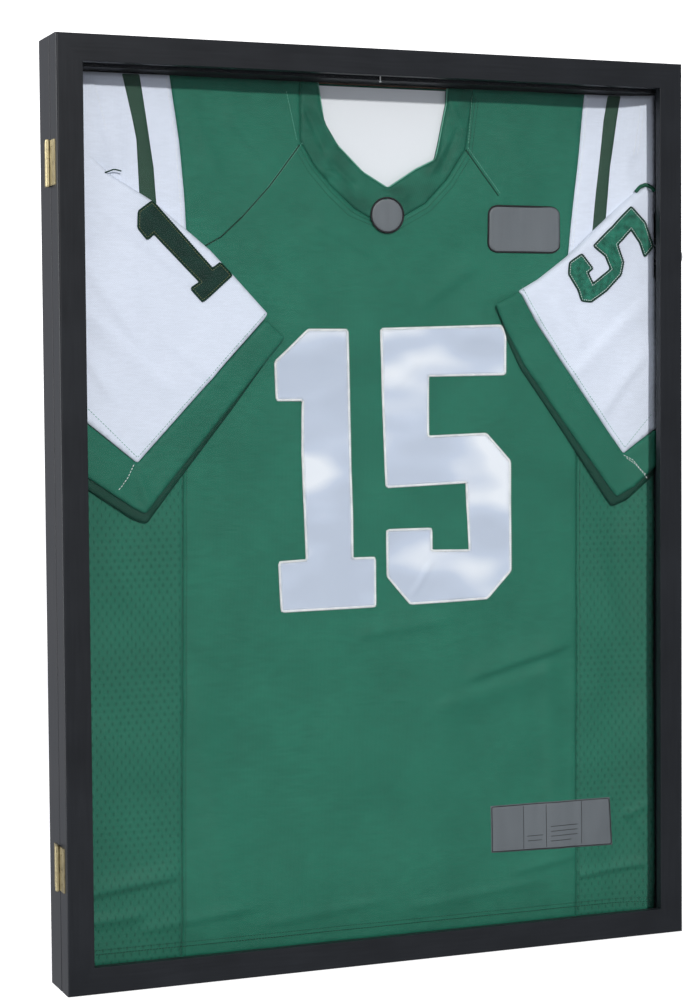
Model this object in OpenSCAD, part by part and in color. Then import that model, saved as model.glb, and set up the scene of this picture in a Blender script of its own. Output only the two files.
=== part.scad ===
// Hinged wall display frame for a shirt: a deep case, a glazed door on two side hinges, a key
// lock in the right side, and a shirt worn by a light board in front of the back panel.
// Front is -Y, the wall plane is Y = 0, and the origin is midway between the two keyhole hangers.

/* [Frame] */
// Overall width of the frame
frame_w = 652; // [620:1:720]
// Overall height of the frame
frame_h = 889; // [860:1:960]
// Thickness of the door, front to back
door_t = 24; // [23:0.5:26]
// Depth of the case behind the door
case_d = 37; // [37:1:45]
// Gap between the closed door and the case
seam_gap = 1; // [0.9:0.1:1.4]

/* [Door] */
// Width of the door rails seen from the front
door_face = 25.4; // [25:0.1:27]
// Thickness of the lip in front of the clear panel
lip_t = 8.5; // [8:0.1:9]
// Thickness of the clear panel
panel_t = 2; // [1.5:0.1:2]
// Width of the rebate behind the lip
rebate_w = 9.4; // [9:0.1:9.6]
// Radius on the outer front edge of the door
edge_r = 2; // [0.5:0.1:3]

/* [Case] */
// Thickness of the case's sides and bottom
wall_t = 13; // [13:0.1:14]
// Height of the case's top rail
top_rail_h = 27; // [26:0.5:28]
// Thickness of the back panel
back_t = 3; // [2.5:0.5:3.5]
// Thickness of the board inside the shirt
board_t = 4; // [3:0.1:4.2]
// Spacing of the two keyhole hangers
hanger_pitch = 406.4; // [200:0.1:460]

/* [Hinges] */
// Height of each hinge
hinge_h = 41.5; // [40:0.5:50]
// Width of one hinge leaf, from the pin axis
leaf_w = 17; // [16:0.1:19]
// Thickness of the hinge leaves
leaf_t = 1.1; // [0.9:0.1:1.2]
// Radius of the hinge knuckles
knuckle_r = 2.4; // [2.2:0.05:2.4]
// Distance from the frame's top and bottom edges to the hinge centres
hinge_inset = 117; // [90:1:200]

/* [Lock] */
// Height of the lock axis above the bottom edge
lock_z = 697; // [560:1:720]
// Radius of the lock barrel
barrel_r = 7; // [6.5:0.1:7.5]
// Reach of the lock cam from its axis
cam_reach = 14.2; // [13.8:0.1:14.4]

/* [Shirt] */
// Thickness of the shirt's front over the board
front_t = 6.5; // [5:0.1:6.5]
// Thickness of the folded sleeves
sleeve_t = 7.5; // [4:0.1:8]
// Thickness of the sewn numbers and patches
number_t = 0.7; // [0.4:0.1:1]

/* [Hidden] */
$fn = 48;

// Every shape below is drawn with X = 0 in the middle, Y = 0 at the front face and Z = 0 at the
// bottom edge, and place() then moves it so that the hangers meet the wall plane.
half_w = frame_w / 2;
case_front = door_t + seam_gap;
total_d = case_front + case_d;
hang_z = frame_h - top_rail_h / 2;
window_x = half_w - door_face;
rebate_x = window_x + rebate_w;
window_low = door_face;
window_high = frame_h - door_face;
strip_front = lip_t + panel_t;
strip_w = 4;
strip_d = 8;
fit = 0.05;
eps = 1;

// Case and back panel
case_x = half_w - wall_t;
case_low = wall_t;
case_high = frame_h - top_rail_h;
case_mid_y = case_front + case_d / 2;
back_rebate = 6;
back_recess = 2;
back_front = total_d - back_recess - back_t;
back_screw_r = 1.1;
back_head_r = 2.4;
back_screw_len = 12;
back_screws = concat(
    [for (s = [-1, 1]) for (k = [0.06, 0.35, 0.65, 0.92]) [s * (case_x + 3), k * frame_h]],
    [for (z = [case_low - 3, case_high + 3]) for (x = [-250, 0, 250]) [x, z]]
);
dowel_r = 3;
dowel_len = 18;

// Door splines
spline_side = 9;
spline_t = 2;
door_spline_inset = 8;
door_spline_y = 0.6 * door_t;

// Keyhole hangers
plate_w = 40;
plate_h = 18;
plate_t = 1.5;
plate_mid = 2.4;
keyhole_r = 4.5;
keyslot_r = 2.25;
keyslot_rise = 7;
plate_screw_x = 14;
pocket_deep = 8;

// Hinges
pin_r = 1;
bore_r = 1.05;
knuckles = 5;
knuckle_h = hinge_h / knuckles;
axis_x = -half_w - 2.5;
axis_y = door_t + seam_gap / 2;
hinge_screw_r = 1.2;
hinge_head_r = 2.4;
hinge_screw_len = 12;
hinge_screw_pitch = 14;
hinge_screw_y = 10.5;
hinge_zs = [frame_h - hinge_inset, hinge_inset];

// Lock
lock_y = case_mid_y;
flange_r = 9;
flange_t = 2.2;
plug_r = 4.5;
lock_wall = 7;
pocket_x = half_w - lock_wall;
pocket_front = case_front + 3.3;
pocket_back = lock_y + 11;
barrel_end = pocket_x - 3.5;
nut_t = 2.5;
nut_flat = 8.5;
tail = 5;
cam_t = 1.4;
cam_screw_deep = 3.5;
cam_w = 6;
cam_x = barrel_end - 0.3 - cam_t;
cam_screw_r = 1.3;
key_t = 2;
key_blade = 7;
key_depth = 10;
key_neck = 5;
key_bow_r = 10;
strike_z = lock_z + 9.3;
strike_t = 1.5;
strike_low_x = cam_x - 2.7;
strike_high_x = cam_x + cam_t + 2.5;
strike_end = lock_y + cam_w / 2 + 2.5;
strike_room = 0.8;
strike_flange_z = 18;
strike_flange_x = 13;

// Magnets and bumpers
magnet_r = 4;
magnet_t = 4;
magnet_zs = [0.3 * frame_h, 0.62 * frame_h];
bumper_zs = [0.08 * frame_h, 0.92 * frame_h];
side_mid_x = half_w - wall_t / 2;
disc_t = 1.2;

// Nails of the panel strips
nail_r = 0.6;
nail_deep = 6;
nail_y = strip_front + strip_d / 2;
loose_nail_drop = 4.2;

// Shirt
kw = frame_w / 652;
kh = frame_h / 889;
board_back = back_front - 2;
board_front = board_back - board_t;
soft_gap = 0.3;
shirt_y = board_front - soft_gap - front_t;
shirt_back_t = 1.5;
sleeve_y = shirt_y - soft_gap - sleeve_t;
back_layer_y = board_back + 0.1;
shirt_x = 310.5;
shirt_low = 14.5;
shirt_top = 860.5;
side_top = 559.5;
side_lap = 60;
board_x = 306;
board_top = 858;

function fitted(points) = [for (p = points) [p[0] * kw, p[1] * kh]];

neck = [
    [-53, 870], [-53, 860], [-47, 822], [-33, 800], [-7, 775], [20, 760], [50, 779], [70, 789],
    [72, 805], [82, 848], [81, 870]
];
collar_outer = [
    [-72, 860.5], [-72, 803], [-58, 780], [-38, 758], [-16, 739], [17, 722], [59, 745], [84, 770],
    [105, 801], [113, 856], [113, 860.5]
];
torso_outline = [
    [-201, 14.5], [226, 14.5], [229, 560], [310.5, 560], [310.5, 640], [219, 692], [232, 802],
    [239, 860.5], [-204, 860.5], [-195, 800], [-188, 707], [-310.5, 640], [-310.5, 560], [-193, 560]
];
side_left = [[-310.5, 14.5], [-201.3, 14.5], [-193.4, 559.7], [-310.5, 559.7]];
side_right = [[226.3, 14.5], [310.5, 14.5], [310.5, 559.7], [229.3, 559.7]];
shoulder_left = [[-310.5, 640.5], [-188.3, 708], [-195.3, 800], [-204.3, 860.5], [-310.5, 860.5]];
shoulder_right = [[310.5, 640.5], [219.3, 692.5], [232.3, 802], [239.3, 860.5], [310.5, 860.5]];
sleeve_left = [
    [-310.5, 802], [-268, 767], [-220, 739], [-167, 696], [-110, 636], [-113, 631], [-242, 494], [-310.5, 550]
];
cuff_left = [
    [-310.5, 548.5], [-242, 493], [-112, 630], [-92, 612], [-235, 445], [-246, 451], [-310.5, 494]
];
sleeve_right = [
    [310.5, 763], [302, 768], [291, 761], [216, 695], [184, 672], [162, 660], [178, 632], [212, 584],
    [278, 494], [310.5, 521]
];
cuff_right = [
    [161, 659], [134, 646], [144, 625], [166, 585], [215, 521], [271, 449], [310.5, 480],
    [310.5, 519.5], [278, 493], [211, 583], [177, 631]
];
digit_one = [
    [-66, 620], [-25, 620], [-23, 520], [-21, 395], [3, 395], [3, 347], [-96, 346], [-98, 394],
    [-69, 395], [-73, 500], [-72, 552], [-99, 552], [-100, 589]
];
digit_five = [
    [11, 621], [142, 624.8], [146.5, 616], [146, 576], [62, 575], [61, 514], [125, 516], [151, 488], [152, 377],
    [125, 350], [41, 348], [17, 376], [16, 422], [64, 422], [64, 400], [106, 399], [103, 468], [16, 465]
];
sleeve_one = [
    [-239, 731], [-225, 741], [-166, 678], [-158, 684], [-146, 672], [-176, 646], [-188, 659],
    [-179, 665], [-224, 710], [-231, 704], [-240, 715]
];
sleeve_five = [
    [286, 747], [301, 731], [309, 706], [300, 695], [295, 710], [286, 723], [271, 708], [278, 690],
    [275, 677], [259, 661], [241, 649], [230, 650], [226, 661], [215, 677], [216, 689], [230, 698],
    [243, 683], [237, 679], [243, 668], [263, 683], [257, 696], [243, 706]
];
collar_round = [for (a = [0 : 10 : 350]) [18 + 17 * cos(a), 733 + 17 * sin(a)]];
chest_plain = [
    [138, 699], [200, 699], [205, 700.5], [208.5, 704], [209, 708], [209, 736], [208.5, 740],
    [205, 743.5], [200, 745], [138, 745], [133, 743.5], [129.5, 740], [129, 736], [129, 708],
    [129.5, 704], [133, 700.5]
];
tag = [[128, 138], [265, 137], [268, 87], [129, 90]];

module place() {
    translate([0, -total_d, -hang_z]) children();
}

// ---------- shared shapes ----------

module corner_cut(r) {
    difference() {
        translate([-eps, -eps]) square(r + eps);
        translate([r, r]) circle(r);
    }
}

// A bar along X whose section is drawn as (depth, inward), cut to 45 degrees at both ends
module mitred_bar(len) {
    reach = 40;
    intersection() {
        rotate([90, 0, 90]) linear_extrude(len, center = true) children();
        translate([0, total_d + eps, 0]) rotate([90, 0, 0]) linear_extrude(total_d + 2 * eps)
            polygon([[-len / 2, 0], [len / 2, 0], [len / 2 - reach, reach], [-len / 2 + reach, reach]]);
    }
}

module at_side(side) {
    if (side == "bottom") children();
    if (side == "top") translate([0, 0, frame_h]) mirror([0, 0, 1]) children();
    if (side == "left") translate([-half_w, 0, frame_h / 2]) rotate([0, 90, 0]) children();
    if (side == "right") translate([half_w, 0, frame_h / 2]) rotate([0, -90, 0]) children();
}

function bar_length(side) = (side == "top" || side == "bottom") ? frame_w : frame_h;

// A prism from an outline in X and Z, from depth y over thickness t
module slab(outline, y, t) {
    translate([0, y + t, 0]) rotate([90, 0, 0]) linear_extrude(t) polygon(fitted(outline));
}

// A countersunk screw along -Z, its head's face at z = 0
module flat_screw(head_r, shank_r, len) {
    cone_h = head_r - shank_r;
    difference() {
        union() {
            translate([0, 0, -cone_h]) cylinder(h = cone_h, r1 = shank_r, r2 = head_r, $fn = 24);
            translate([0, 0, -len]) cylinder(h = len - cone_h, r = shank_r, $fn = 24);
        }
        for (a = [0, 90]) rotate([0, 0, a]) cube([head_r * 1.1, head_r * 0.28, 0.8], center = true);
    }
}

module flat_screw_hole(head_r, shank_r, len) {
    cone_h = head_r - shank_r;
    translate([0, 0, -cone_h]) cylinder(h = cone_h, r1 = shank_r + fit, r2 = head_r + fit, $fn = 24);
    translate([0, 0, -len - fit]) cylinder(h = len, r = shank_r + fit, $fn = 24);
    cylinder(h = eps, r = head_r + fit, $fn = 24);
}

module corner_splines(grow) {
    side = spline_side + 2 * grow;
    for (x = [-half_w + door_spline_inset, half_w - door_spline_inset])
        for (z = [door_spline_inset, frame_h - door_spline_inset])
            translate([x, door_spline_y, z]) rotate([0, 45, 0])
                cube([side, spline_t + 2 * grow, side], center = true);
}

// ---------- case ----------

// A case rail's section as (depth, inward) from its outer face, with the rear rebate
module case_section(thick) {
    difference() {
        translate([case_front, 0]) square([case_d, thick]);
        translate([back_front, thick - back_rebate]) square([case_d, back_rebate + eps]);
        translate([case_front, 0]) corner_cut(1);
        translate([total_d, 0]) mirror([1, 0]) corner_cut(1);
    }
}

module case_bar(side, thick, len) {
    difference() {
        at_side(side) rotate([90, 0, 90]) linear_extrude(len, center = true) case_section(thick);
        back_screw_holes();
        dowel_places() cylinder(h = dowel_len + 2 * fit, r = dowel_r + fit, center = true);
    }
}

module back_screw_places() {
    for (p = back_screws) translate([p[0], back_front, p[1]]) rotate([-90, 0, 0]) children();
}

module back_screw_holes() {
    back_screw_places() translate([0, 0, -back_screw_len])
        cylinder(h = back_screw_len + back_t + eps, r = back_screw_r + fit, $fn = 24);
}

// Two dowels through each joint between a side and the top or bottom rail
module dowel_places() {
    for (s = [-1, 1]) for (z = [case_low / 2, frame_h - top_rail_h / 2]) for (y = [-9, 7])
        translate([s * case_x, case_mid_y + y, z]) rotate([0, 90, 0]) children();
}

module case_rail_top() {
    color("#1d1e22") place() difference() {
        case_bar("top", top_rail_h, 2 * case_x);
        for (s = [-1, 1]) hanger_cuts(s);
    }
}

module case_rail_bottom() {
    color("#1d1e22") place() case_bar("bottom", wall_t, 2 * case_x);
}

module case_rail_left() {
    color("#1d1e22") place() difference() {
        case_bar("left", wall_t, frame_h);
        hinge_screws_at(1) flat_screw_hole(hinge_head_r, hinge_screw_r, hinge_screw_len);
    }
}

module case_rail_right() {
    color("#1d1e22") place() difference() {
        case_bar("right", wall_t, frame_h);
        lock_axis() translate([0, 0, pocket_x - eps]) cylinder(h = lock_wall + 2 * eps, r = barrel_r + fit);
        translate([case_x - eps, pocket_front, lock_z - 17])
            cube([pocket_x - case_x + eps, pocket_back - pocket_front, 35]);
        translate([strike_low_x - strike_room, case_front - eps, strike_z - strike_room])
            cube([strike_high_x - strike_low_x + 2 * strike_room, 5, strike_t + 2 * strike_room]);
        magnet_places() translate([0, 0, -magnet_t]) cylinder(h = magnet_t + eps, r = magnet_r + fit);
    }
}

module case_dowels() {
    color("#c9a77a") place() dowel_places() cylinder(h = dowel_len, r = dowel_r, center = true);
}

module back_panel() {
    room = 0.4;
    x = case_x + back_rebate - room;
    low = case_low - back_rebate + room;
    high = case_high + back_rebate - room;
    color("#3a2f28") place() difference() {
        translate([-x, back_front, low]) cube([2 * x, back_t, high - low]);
        back_screw_holes();
    }
}

module back_panel_screws() {
    color("silver") place() back_screw_places() difference() {
        union() {
            translate([0, 0, -back_screw_len + fit])
                cylinder(h = back_screw_len + back_t, r = back_screw_r, $fn = 24);
            translate([0, 0, back_t]) cylinder(h = 1.6, r1 = back_head_r, r2 = back_head_r * 0.7, $fn = 24);
        }
        for (a = [0, 90]) rotate([0, 0, a]) translate([0, 0, back_t + 1.6]) cube([3, 0.7, 1.6], center = true);
    }
}

// ---------- keyhole hangers ----------

module hanger_place(s) {
    translate([s * hanger_pitch / 2, total_d, hang_z]) children();
}

module hanger_cuts(s) {
    hanger_place(s) {
        translate([-plate_w / 2 - fit, -plate_t, plate_mid - plate_h / 2 - fit])
            cube([plate_w + 2 * fit, plate_t + eps, plate_h + 2 * fit]);
        translate([-keyhole_r - 1, -plate_t - pocket_deep, -keyhole_r - 1])
            cube([2 * keyhole_r + 2, pocket_deep + eps, keyhole_r + keyslot_rise + keyslot_r + 2]);
        hanger_screw_places() flat_screw_hole(2.2, 1.1, 13);
    }
}

module hanger_screw_places() {
    for (x = [-plate_screw_x, plate_screw_x]) translate([x, 0, plate_mid]) rotate([-90, 0, 0]) children();
}

module through_plate() {
    rotate([-90, 0, 0]) translate([0, 0, -plate_t - eps]) linear_extrude(plate_t + 2 * eps) children();
}

module hanger_plate(s) {
    hanger_place(s) difference() {
        translate([-plate_w / 2, -plate_t, plate_mid - plate_h / 2]) cube([plate_w, plate_t, plate_h]);
        through_plate() circle(keyhole_r);
        through_plate() translate([-keyslot_r, -keyslot_rise]) square([2 * keyslot_r, keyslot_rise]);
        through_plate() translate([0, -keyslot_rise]) circle(keyslot_r);
        hanger_screw_places() flat_screw_hole(2.2, 1.1, 13);
    }
}

module hanger_plate_left() {
    color("silver") place() hanger_plate(-1);
}

module hanger_plate_right() {
    color("silver") place() hanger_plate(1);
}

module hanger_screws() {
    color("silver") place() for (s = [-1, 1]) hanger_place(s) hanger_screw_places() flat_screw(2.2, 1.1, 13);
}

// ---------- hinges ----------

// Side screws of both hinges: dir is 1 in the case and -1 in the door
module hinge_screws_at(dir) {
    for (z = hinge_zs) for (k = [-1, 0, 1])
        translate([-half_w - leaf_t, axis_y + dir * hinge_screw_y, z + k * hinge_screw_pitch])
            rotate([0, -90, 0]) children();
}

// One leaf about the pin axis, with its own knuckles and room for the other leaf's
module hinge_leaf(dir, first) {
    clear = knuckle_r + 0.3;
    gap = 0.1;
    flat_x = -half_w - axis_x - leaf_t;
    difference() {
        union() {
            difference() {
                translate([flat_x, dir > 0 ? 0 : -leaf_w, -hinge_h / 2]) cube([leaf_t, leaf_w, hinge_h]);
                for (k = [1 - first : 2 : knuckles - 1])
                    translate([flat_x - eps, dir > 0 ? -eps : -clear, -hinge_h / 2 + k * knuckle_h - gap])
                        cube([leaf_t + 2 * eps, clear + eps, knuckle_h + 2 * gap]);
            }
            for (k = [first : 2 : knuckles - 1])
                translate([0, 0, -hinge_h / 2 + k * knuckle_h + (k == 0 ? 0 : gap)])
                    cylinder(h = knuckle_h - (k == 0 || k == knuckles - 1 ? gap : 2 * gap), r = knuckle_r);
        }
        translate([0, 0, -hinge_h]) cylinder(h = 2 * hinge_h, r = bore_r);
        for (k = [-1, 0, 1]) translate([flat_x, dir * hinge_screw_y, k * hinge_screw_pitch])
            rotate([0, -90, 0]) flat_screw_hole(hinge_head_r, hinge_screw_r, hinge_screw_len);
    }
}

module hinge_place(z) {
    translate([axis_x, axis_y, z]) children();
}

module hinge_pin() {
    cylinder(h = hinge_h + 0.2, r = pin_r, center = true);
    for (s = [0, 1]) mirror([0, 0, s]) translate([0, 0, hinge_h / 2 + 0.1]) {
        cylinder(h = 0.6, r = 1.9);
        translate([0, 0, 0.6]) cylinder(h = 0.6, r1 = 1.9, r2 = 1);
    }
}

module hinge_upper_case_leaf() {
    color("#c8a85a") place() hinge_place(hinge_zs[0]) hinge_leaf(1, 0);
}

module hinge_lower_case_leaf() {
    color("#c8a85a") place() hinge_place(hinge_zs[1]) hinge_leaf(1, 0);
}

module hinge_upper_door_leaf() {
    color("#c8a85a") place() hinge_place(hinge_zs[0]) hinge_leaf(-1, 1);
}

module hinge_lower_door_leaf() {
    color("#c8a85a") place() hinge_place(hinge_zs[1]) hinge_leaf(-1, 1);
}

module hinge_upper_pin() {
    color("#d8b868") place() hinge_place(hinge_zs[0]) hinge_pin();
}

module hinge_lower_pin() {
    color("#d8b868") place() hinge_place(hinge_zs[1]) hinge_pin();
}

module hinge_case_screws() {
    color("#c8a85a") place() hinge_screws_at(1) flat_screw(hinge_head_r, hinge_screw_r, hinge_screw_len);
}

module hinge_door_screws() {
    color("#c8a85a") place() hinge_screws_at(-1) flat_screw(hinge_head_r, hinge_screw_r, hinge_screw_len);
}

// ---------- lock ----------

// Turns +Z into +X along the lock's axis, with z measured from the frame's middle
module lock_axis() {
    translate([0, lock_y, lock_z]) rotate([0, 90, 0]) children();
}

module lock_body() {
    color("#b9bbbf") place() lock_axis() difference() {
        union() {
            translate([0, 0, half_w]) cylinder(h = flange_t, r = flange_r);
            translate([0, 0, barrel_end]) cylinder(h = half_w - barrel_end + eps, r = barrel_r);
        }
        translate([0, 0, barrel_end - eps]) cylinder(h = half_w, r = plug_r + fit);
    }
}

module lock_nut() {
    color("#a9abb0") place() lock_axis() difference() {
        translate([0, 0, pocket_x - nut_t]) rotate([0, 0, 30])
            cylinder(h = nut_t, r = nut_flat / cos(30), $fn = 6);
        translate([0, 0, pocket_x - nut_t - eps]) cylinder(h = nut_t + 2 * eps, r = barrel_r + fit);
    }
}

module lock_plug() {
    slot_w = key_blade + 0.4;
    color("#c4c6ca") place() lock_axis() difference() {
        union() {
            translate([0, 0, barrel_end]) cylinder(h = half_w + flange_t - 0.2 - barrel_end, r = plug_r);
            translate([0, 0, cam_x + cam_t / 2 + 0.15]) cube([tail, tail, cam_t + 0.3], center = true);
        }
        translate([0, 0, cam_x - eps])
            cylinder(h = cam_screw_deep + eps + fit, r = cam_screw_r + fit, $fn = 24);
        translate([-slot_w / 2, -key_t / 2 - 0.2, half_w + flange_t - key_depth - 0.5])
            cube([slot_w, key_t + 0.4, key_depth + eps]);
    }
}

// The cam points to the front while the lock is open
module lock_cam() {
    color("#a9abb0") place() lock_axis() difference() {
        union() {
            translate([0, 0, cam_x]) cylinder(h = cam_t, r = plug_r + 0.5);
            translate([-cam_w / 2, -cam_reach, cam_x]) cube([cam_w, cam_reach, cam_t]);
        }
        translate([0, 0, cam_x + cam_t / 2])
            cube([tail + 2 * fit, tail + 2 * fit, cam_t + 2 * eps], center = true);
    }
}

module lock_cam_screw() {
    color("silver") place() lock_axis() {
        translate([0, 0, cam_x - 1.4]) cylinder(h = 1.4, r1 = 2.4, r2 = 3.4, $fn = 24);
        translate([0, 0, cam_x]) cylinder(h = cam_screw_deep, r = cam_screw_r, $fn = 24);
    }
}

// Flat key, its bow upright while the lock is open
module lock_key() {
    face = half_w + flange_t;
    color("#c9cbd0") place() lock_axis() difference() {
        union() {
            translate([-key_blade / 2, -key_t / 2, face - key_depth])
                cube([key_blade, key_t, key_depth + key_neck]);
            translate([0, key_t / 2, face + key_neck + key_bow_r - 2])
                rotate([90, 0, 0]) cylinder(h = key_t, r = key_bow_r);
        }
        translate([0, key_t, face + key_neck + key_bow_r + 2])
            rotate([90, 0, 0]) cylinder(h = 2 * key_t, r = 2.5);
    }
}

// Bent plate on the door's back: the cam turns up through its slot and holds its rear bar
module strike_holes() {
    for (z = [6, 13]) translate([rebate_x + 7, door_t, strike_z + z]) rotate([-90, 0, 0]) children();
}

module strike_flange(grow) {
    wide = rebate_x + strike_flange_x - strike_low_x;
    translate([strike_low_x - grow, door_t - strike_t - grow, strike_z - grow])
        cube([wide + 2 * grow, strike_t + 2 * grow, strike_flange_z + 2 * grow]);
}

module lock_strike() {
    slot_x = cam_x - 1.1;
    color("#a9abb0") place() difference() {
        union() {
            strike_flange(0);
            translate([strike_low_x, door_t - strike_t, strike_z])
                cube([strike_high_x - strike_low_x, strike_end - door_t + strike_t, strike_t]);
        }
        translate([slot_x, lock_y - cam_reach + 0.2, strike_z - eps])
            cube([cam_t + 2.2, strike_end - 1.6 - lock_y + cam_reach - 0.2, strike_t + 2 * eps]);
        strike_holes() flat_screw_hole(2.3, 1.1, 11);
    }
}

module lock_strike_screws() {
    color("silver") place() strike_holes() flat_screw(2.3, 1.1, 11);
}

// ---------- magnets and bumpers ----------

module magnet_places() {
    for (z = magnet_zs) translate([side_mid_x, case_front, z]) rotate([90, 0, 0]) children();
}

module strike_disc_places() {
    for (z = magnet_zs) translate([side_mid_x, door_t, z]) rotate([90, 0, 0]) children();
}

module closing_magnets() {
    color("#8f9196") place() magnet_places()
        translate([0, 0, -magnet_t]) cylinder(h = magnet_t + 0.3, r = magnet_r);
}

module magnet_strikes() {
    color("#9a9ca1") place() strike_disc_places() difference() {
        cylinder(h = disc_t, r = magnet_r + 1);
        translate([0, 0, -eps]) cylinder(h = disc_t + 2 * eps, r = 1.2, $fn = 24);
    }
}

module door_bumpers() {
    color("#33343a") place() for (z = bumper_zs)
        translate([side_mid_x, case_front, z]) rotate([90, 0, 0]) cylinder(h = seam_gap - 0.2, r = 4);
}

// ---------- door ----------

module door_section() {
    difference() {
        square([door_t, door_face]);
        translate([lip_t, door_face - rebate_w]) square([door_t, rebate_w + eps]);
        corner_cut(edge_r);
        translate([door_t, 0]) mirror([1, 0]) corner_cut(1);
        translate([0, door_face]) mirror([0, 1]) corner_cut(0.6);
    }
}

module door_bar(side) {
    difference() {
        at_side(side) mitred_bar(bar_length(side)) door_section();
        corner_splines(fit);
        nail_places() nail_hole();
        loose_nail_place() nail_hole();
    }
}

module nail_hole() {
    translate([0, 0, -nail_deep - fit]) cylinder(h = nail_deep + eps, r = nail_r + fit, $fn = 24);
}

module door_rail_top() {
    color("#1d1e22") place() door_bar("top");
}

module door_rail_bottom() {
    color("#1d1e22") place() door_bar("bottom");
}

module door_stile_left() {
    color("#1d1e22") place() difference() {
        door_bar("left");
        hinge_screws_at(-1) flat_screw_hole(hinge_head_r, hinge_screw_r, hinge_screw_len);
    }
}

module door_stile_right() {
    color("#1d1e22") place() difference() {
        door_bar("right");
        strike_flange(fit);
        strike_holes() flat_screw_hole(2.3, 1.1, 11);
        strike_disc_places() translate([0, 0, -eps]) cylinder(h = disc_t + eps + fit, r = magnet_r + 1 + fit);
    }
}

module door_corner_splines() {
    color("#c9a77a") place() corner_splines(0);
}

module clear_panel() {
    gap = 0.5;
    color("#dfeef5", 0.25) place() translate([-rebate_x + gap, lip_t, window_low - rebate_w + gap])
        cube([2 * (rebate_x - gap), panel_t, window_high - window_low + 2 * (rebate_w - gap)]);
}

// Strips that hold the panel: the short ones run the full width, the long ones stand between them
module strip_bar(side) {
    low = window_low - rebate_w;
    high = window_high + rebate_w;
    place() difference() {
        union() {
            if (side == "bottom")
                translate([-rebate_x, strip_front, low]) cube([2 * rebate_x, strip_d, strip_w]);
            if (side == "top")
                translate([-rebate_x, strip_front, high - strip_w]) cube([2 * rebate_x, strip_d, strip_w]);
            if (side == "left")
                translate([-rebate_x, strip_front, low + strip_w])
                    cube([strip_w, strip_d, high - low - 2 * strip_w]);
            if (side == "right")
                translate([rebate_x - strip_w, strip_front, low + strip_w])
                    cube([strip_w, strip_d, high - low - 2 * strip_w]);
        }
        nail_places() translate([0, 0, -eps]) cylinder(h = strip_w + 2 * eps, r = nail_r + fit, $fn = 24);
        loose_nail_place() translate([0, 0, -eps]) cylinder(h = strip_w + 2 * eps, r = nail_r + fit, $fn = 24);
    }
}

module panel_strip_top() {
    color("#1d1e22") strip_bar("top");
}

module panel_strip_bottom() {
    color("#1d1e22") strip_bar("bottom");
}

module panel_strip_left() {
    color("#1d1e22") strip_bar("left");
}

module panel_strip_right() {
    color("#1d1e22") strip_bar("right");
}

// Nails lie with z pointing into the window and z = 0 on the rebate's wall
module nail_places() {
    for (x = [-0.36, 0.36]) {
        translate([x * frame_w, nail_y, window_high + rebate_w]) rotate([180, 0, 0]) children();
        translate([x * frame_w, nail_y, window_low - rebate_w]) children();
    }
    for (z = [0.2, 0.5, 0.77]) {
        translate([rebate_x, nail_y, z * frame_h]) rotate([0, -90, 0]) children();
        translate([-rebate_x, nail_y, z * frame_h]) rotate([0, 90, 0]) children();
    }
}

// The nail at the top centre stands out of its strip and shows below the lip
module loose_nail_place() {
    translate([0, nail_y, window_high + rebate_w]) rotate([180, 0, 0]) children();
}

module panel_nail(stand) {
    translate([0, 0, -nail_deep]) cylinder(h = nail_deep + stand, r = nail_r, $fn = 24);
    translate([0, 0, stand]) cylinder(h = 0.8, r1 = 1.4, r2 = 1, $fn = 24);
}

module panel_nails() {
    color("silver") place() {
        nail_places() panel_nail(strip_w);
        loose_nail_place() panel_nail(rebate_w + loose_nail_drop);
    }
}

// ---------- shirt ----------

module shirt_board() {
    low = case_low + soft_gap;
    color("#eceef2") place() translate([-board_x * kw, board_front, low])
        cube([2 * board_x * kw, board_t, board_top * kh - low]);
}

// The front lies over the board
module shirt_front(outline) {
    slab(outline, shirt_y, front_t);
}

// Cloth that turns round the board's edge from the front to the back
module wrap_cube(x_low, x_high, z_low, z_high) {
    translate([x_low * kw, shirt_y + 1, z_low * kh])
        cube([(x_high - x_low) * kw, back_layer_y + shirt_back_t - shirt_y - 1, (z_high - z_low) * kh]);
}

// The body's back and the shoulders' tops are in one piece with its front
module shirt_torso() {
    back_outline = [[-203.5, shirt_low], [226, shirt_low], [238.5, shirt_top], [-203.5, shirt_top]];
    color("#2f755c") place() {
        difference() {
            shirt_front(torso_outline);
            slab(collar_outer, shirt_y - eps, total_d);
        }
        wrap_cube(-203.5, -72.5, board_top + soft_gap, shirt_top);
        wrap_cube(113.5, 238.5, board_top + soft_gap, shirt_top);
        slab(back_outline, back_layer_y, shirt_back_t);
    }
}

// Each side panel turns round the board's edge to the back
module shirt_side(outline, side) {
    outer = side * shirt_x;
    inner = side * (board_x + soft_gap);
    lap = side * (shirt_x - side_lap);
    color("#2c6f57") place() {
        shirt_front(outline);
        wrap_cube(min(outer, inner), max(outer, inner), shirt_low, side_top);
        slab([[outer, shirt_low], [lap, shirt_low], [lap, side_top], [outer, side_top]],
            back_layer_y, shirt_back_t);
    }
}

module shirt_side_left() {
    shirt_side(side_left, -1);
}

module shirt_side_right() {
    shirt_side(side_right, 1);
}

module shirt_collar() {
    color("#286a50") place() difference() {
        shirt_front(collar_outer);
        slab(neck, shirt_y - eps, total_d);
    }
}

module shirt_shoulder_left() {
    color("#e6e8ef") place() shirt_front(shoulder_left);
}

module shirt_shoulder_right() {
    color("#e6e8ef") place() shirt_front(shoulder_right);
}

module shirt_sleeve_left() {
    color("#eceef4") place() slab(sleeve_left, sleeve_y, sleeve_t);
}

module shirt_sleeve_right() {
    color("#eceef4") place() slab(sleeve_right, sleeve_y, sleeve_t);
}

module shirt_cuff_left() {
    color("#2f755c") place() slab(cuff_left, sleeve_y, sleeve_t);
}

module shirt_cuff_right() {
    color("#2f755c") place() slab(cuff_right, sleeve_y, sleeve_t);
}

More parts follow.
